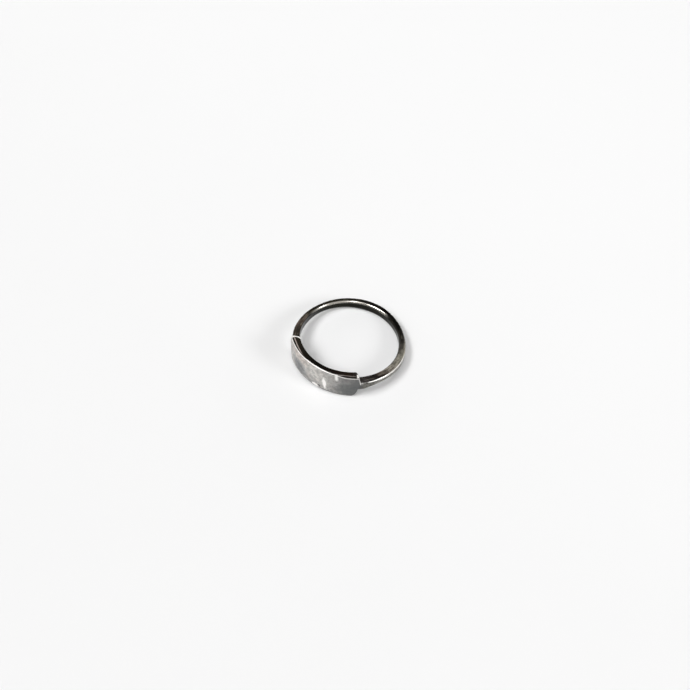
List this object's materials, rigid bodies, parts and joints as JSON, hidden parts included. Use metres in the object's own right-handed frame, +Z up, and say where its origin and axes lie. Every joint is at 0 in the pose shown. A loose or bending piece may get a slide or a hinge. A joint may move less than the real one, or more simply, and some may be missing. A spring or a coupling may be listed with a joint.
{
  "type": "finger ring",
  "caption": "Narrow finger ring lying on its side, a thin rounded dark shank closed at the front by a wide curved satin plate soldered across it.",
  "frame": {"origin": "on the surface the ring lies on, under the middle of its bounding box", "axes": "+Z up, -Y towards the plate, +X to the right when the plate is faced"},
  "size_m": [0.0198, 0.0196, 0.0054],
  "materials": {
    "silver": "sterling silver, oxidised dark on the shank and edges, worn to a satin grey on the face of the plate"
  },
  "bodies": {
    "root": {"ring": "silver"}
  },
  "joints": []
}
